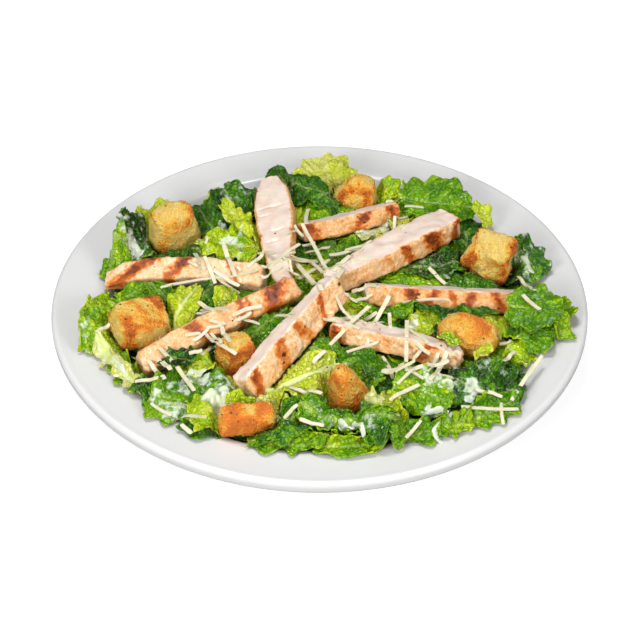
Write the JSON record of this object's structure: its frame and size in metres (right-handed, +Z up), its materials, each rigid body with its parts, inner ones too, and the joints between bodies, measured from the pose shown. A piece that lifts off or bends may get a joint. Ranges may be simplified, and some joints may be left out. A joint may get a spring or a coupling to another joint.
{
  "type": "plated chicken caesar salad",
  "caption": "Romaine salad with sliced grilled chicken, croutons, shaved hard cheese and creamy dressing, plated in a wide-rimmed white bowl.",
  "frame": {"origin": "on the bowl's axis, in the plane that its foot ring stands on", "axes": "+Z up along the bowl's axis, +X to the right and +Y away from the viewer as the salad is served"},
  "size_m": [0.27, 0.27, 0.0626],
  "materials": {
    "glazed_ceramic": "gloss",
    "romaine": "satin",
    "grilled_chicken": "satin",
    "toasted_bread": "matte"
  },
  "bodies": {
    "root": {"bowl": "glazed_ceramic", "salad_heap": "romaine", "chicken_left": "grilled_chicken", "chicken_back": "grilled_chicken", "chicken_back_right": "grilled_chicken", "chicken_long_right": "grilled_chicken", "chicken_right": "grilled_chicken", "chicken_low_right": "grilled_chicken", "chicken_front": "grilled_chicken", "chicken_low_left": "grilled_chicken", "crouton_back_left": "toasted_bread", "crouton_left": "toasted_bread", "crouton_back": "toasted_bread", "crouton_right": "toasted_bread", "crouton_low_right": "toasted_bread", "crouton_low_left": "toasted_bread", "crouton_front_right": "toasted_bread", "crouton_front_left": "toasted_bread"}
  },
  "joints": []
}
